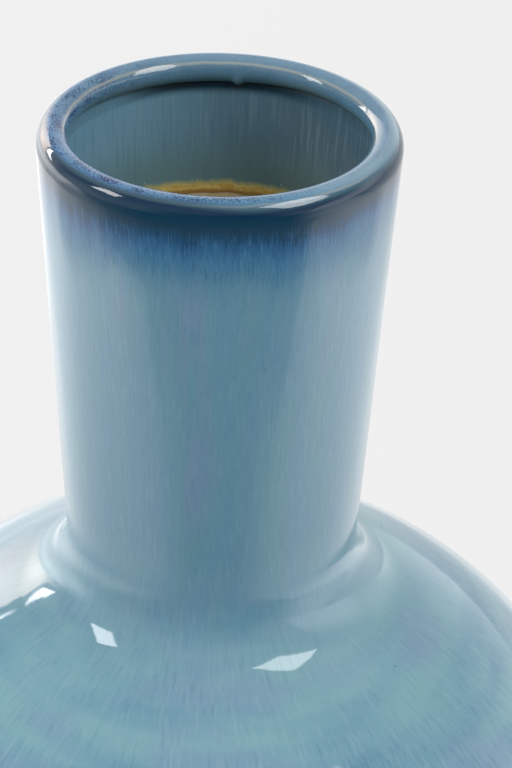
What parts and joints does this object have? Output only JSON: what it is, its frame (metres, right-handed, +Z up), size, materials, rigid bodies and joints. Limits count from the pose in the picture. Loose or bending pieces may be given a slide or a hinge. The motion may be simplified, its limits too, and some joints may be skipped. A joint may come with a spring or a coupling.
{
  "type": "flower vase",
  "caption": "Glazed stoneware bottle vase with a ball-shaped body, a long tapering neck, a rolled lip and a turned foot.",
  "frame": {"origin": "centre of the foot ring, on the surface that the vase stands on", "axes": "+Z up along the axis that every section is turned about; +X and +Y are free, because the vase is round"},
  "size_m": [0.2, 0.2, 0.29],
  "materials": {
    "stoneware": "bare fired clay, slightly gritty",
    "blue_glaze": "glossy blue, streaked downwards",
    "clear_liner": "thin satin clear glaze over tan clay"
  },
  "bodies": {
    "root": {"lip_ring": "stoneware", "neck": "stoneware", "shoulder": "stoneware", "bowl": "stoneware", "floor_disc": "stoneware", "foot_ring": "stoneware", "outer_glaze": "blue_glaze", "liner_glaze": "clear_liner"}
  },
  "joints": []
}
